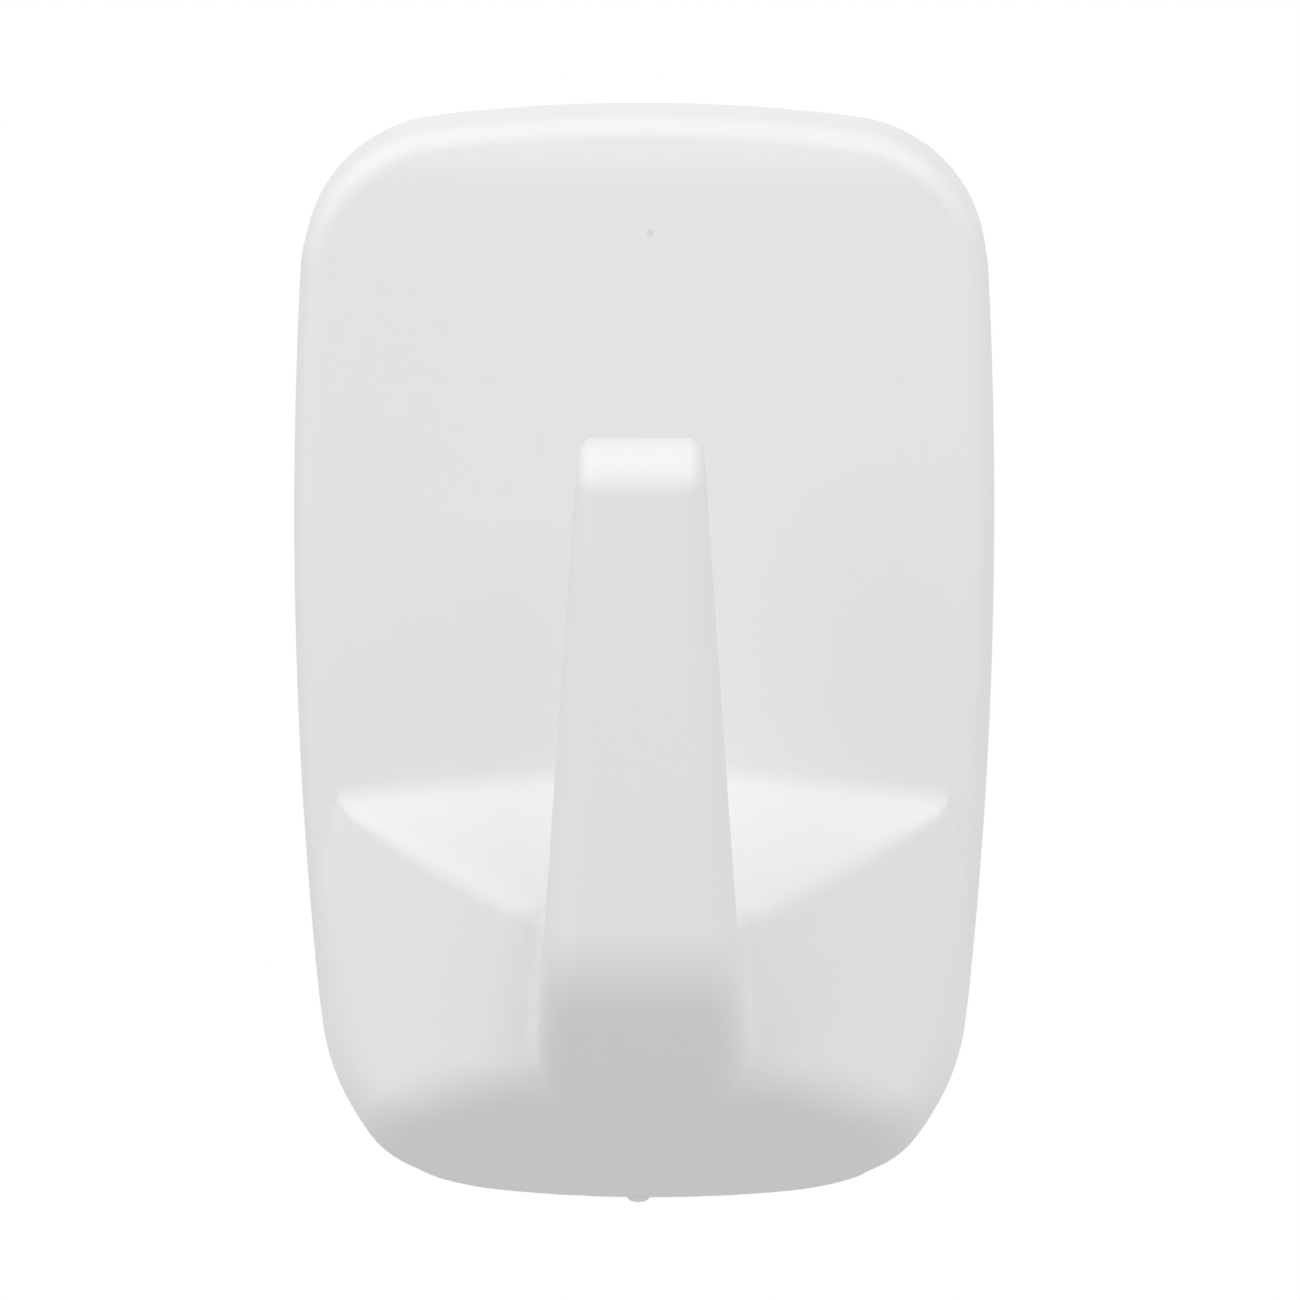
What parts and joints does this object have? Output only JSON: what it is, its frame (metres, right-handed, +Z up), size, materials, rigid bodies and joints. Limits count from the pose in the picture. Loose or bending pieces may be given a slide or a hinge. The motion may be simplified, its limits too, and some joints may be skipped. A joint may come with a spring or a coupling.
{
  "type": "adhesive wall hook",
  "caption": "White moulded wall hook with a tapered finger, sliding down over a base plate that a stretch-release foam strip holds to the wall.",
  "frame": {"origin": "Centre of the rear face of the wall adhesive, on the wall, midway up the bonded length of the strip.", "axes": "+X to the right seen from the front, +Y into the wall, +Z up the wall; the finger stands out along -Y and turns up along +Z."},
  "size_m": [0.0468, 0.0301, 0.0763],
  "materials": {
    "hook_plastic": "satin gloss white",
    "plate_plastic": "matte white",
    "adhesive": "tacky, slightly shiny",
    "foam": "matte closed-cell foam",
    "tab_film": "smooth thin film"
  },
  "bodies": {
    "wall_base": {"base_plate": "plate_plastic", "plate_adhesive": "adhesive", "foam_core": "foam", "wall_adhesive": "adhesive", "tab_film_front": "tab_film", "tab_film_rear": "tab_film"},
    "sliding_hook": {"hook": "hook_plastic"}
  },
  "joints": [
    {"name": "hook_slide", "type": "slide", "parent": "wall_base", "child": "sliding_hook", "axis": [0, 0, 1], "range_m": [0, 0.011]}
  ]
}
